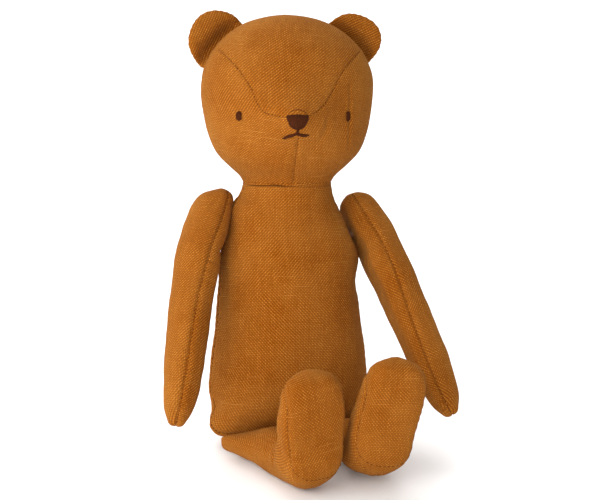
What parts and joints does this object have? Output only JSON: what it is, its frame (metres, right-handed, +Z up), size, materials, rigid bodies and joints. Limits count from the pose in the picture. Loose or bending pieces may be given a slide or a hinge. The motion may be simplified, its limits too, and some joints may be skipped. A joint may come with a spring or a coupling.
{
  "type": "jointed teddy bear",
  "caption": "Seated teddy bear in firmly stuffed plain-weave linen, with arms jointed at the shoulders, legs sewn on at the hips, and an embroidered face.",
  "frame": {"origin": "middle of the seated bear's footprint, on the ground", "axes": "+Z up; the bear faces -Y; +X is the bear's own left"},
  "size_m": [0.1134, 0.125, 0.1656],
  "materials": {
    "linen": "matte plain-weave linen in ochre, the visible panels",
    "linen_shade": "the same linen on the back and sole panels",
    "thread": "dark brown satin-stitched cotton thread",
    "filling": "off-white fibre stuffing, not seen from outside",
    "joint_plastic": "moulded plastic disc joint, not seen from outside"
  },
  "bodies": {
    "torso": {"torso_front": "linen", "torso_back_left": "linen_shade", "torso_back_right": "linen_shade", "torso_stuffing": "filling", "arm_left_washer": "joint_plastic", "arm_right_washer": "joint_plastic"},
    "head": {"forehead_panel": "linen", "cheek_left": "linen", "cheek_right": "linen", "head_back_left": "linen_shade", "head_back_right": "linen_shade", "head_stuffing": "filling", "ear_left_front": "linen", "ear_left_back": "linen", "ear_right_front": "linen", "ear_right_back": "linen", "nose_embroidery": "thread", "mouth_embroidery": "thread", "eye_left": "thread", "eye_right": "thread"},
    "arm_left": {"arm_left_outer": "linen", "arm_left_inner": "linen", "arm_left_stuffing": "filling", "arm_left_disc": "joint_plastic", "arm_left_lock": "joint_plastic"},
    "arm_right": {"arm_right_outer": "linen", "arm_right_inner": "linen", "arm_right_stuffing": "filling", "arm_right_disc": "joint_plastic", "arm_right_lock": "joint_plastic"},
    "leg_left": {"leg_left_outer": "linen", "leg_left_inner": "linen", "leg_left_sole": "linen_shade", "leg_left_stuffing": "filling"},
    "leg_right": {"leg_right_outer": "linen", "leg_right_inner": "linen", "leg_right_sole": "linen_shade", "leg_right_stuffing": "filling"}
  },
  "joints": [
    {"name": "arm_left_swing", "type": "hinge", "parent": "torso", "child": "arm_left", "pos_m": [0.02908, 0.01948, 0.07812], "axis": [-0.972, -0.0558, -0.2281], "range_deg": [-60, 95]},
    {"name": "leg_left_swing", "type": "hinge", "parent": "torso", "child": "leg_left", "pos_m": [0.01593, -0.00878, 0.0079], "axis": [-0.9994, -0.0349, 0], "range_deg": [-90, 15]},
    {"name": "arm_right_swing", "type": "hinge", "parent": "torso", "child": "arm_right", "pos_m": [-0.02323, 0.01948, 0.08132], "axis": [-0.9486, 0.0494, 0.3126], "range_deg": [-60, 110]},
    {"name": "leg_right_swing", "type": "hinge", "parent": "torso", "child": "leg_right", "pos_m": [-0.01967, -0.00978, 0.0079], "axis": [-0.9763, -0.2164, 0], "range_deg": [-90, 15]},
    {"name": "head_turn", "type": "hinge", "parent": "torso", "child": "head", "pos_m": [0.00412, 0.0233, 0.09931], "axis": [0.0599, 0.1908, 0.9798], "range_deg": [-11, 39]}
  ]
}
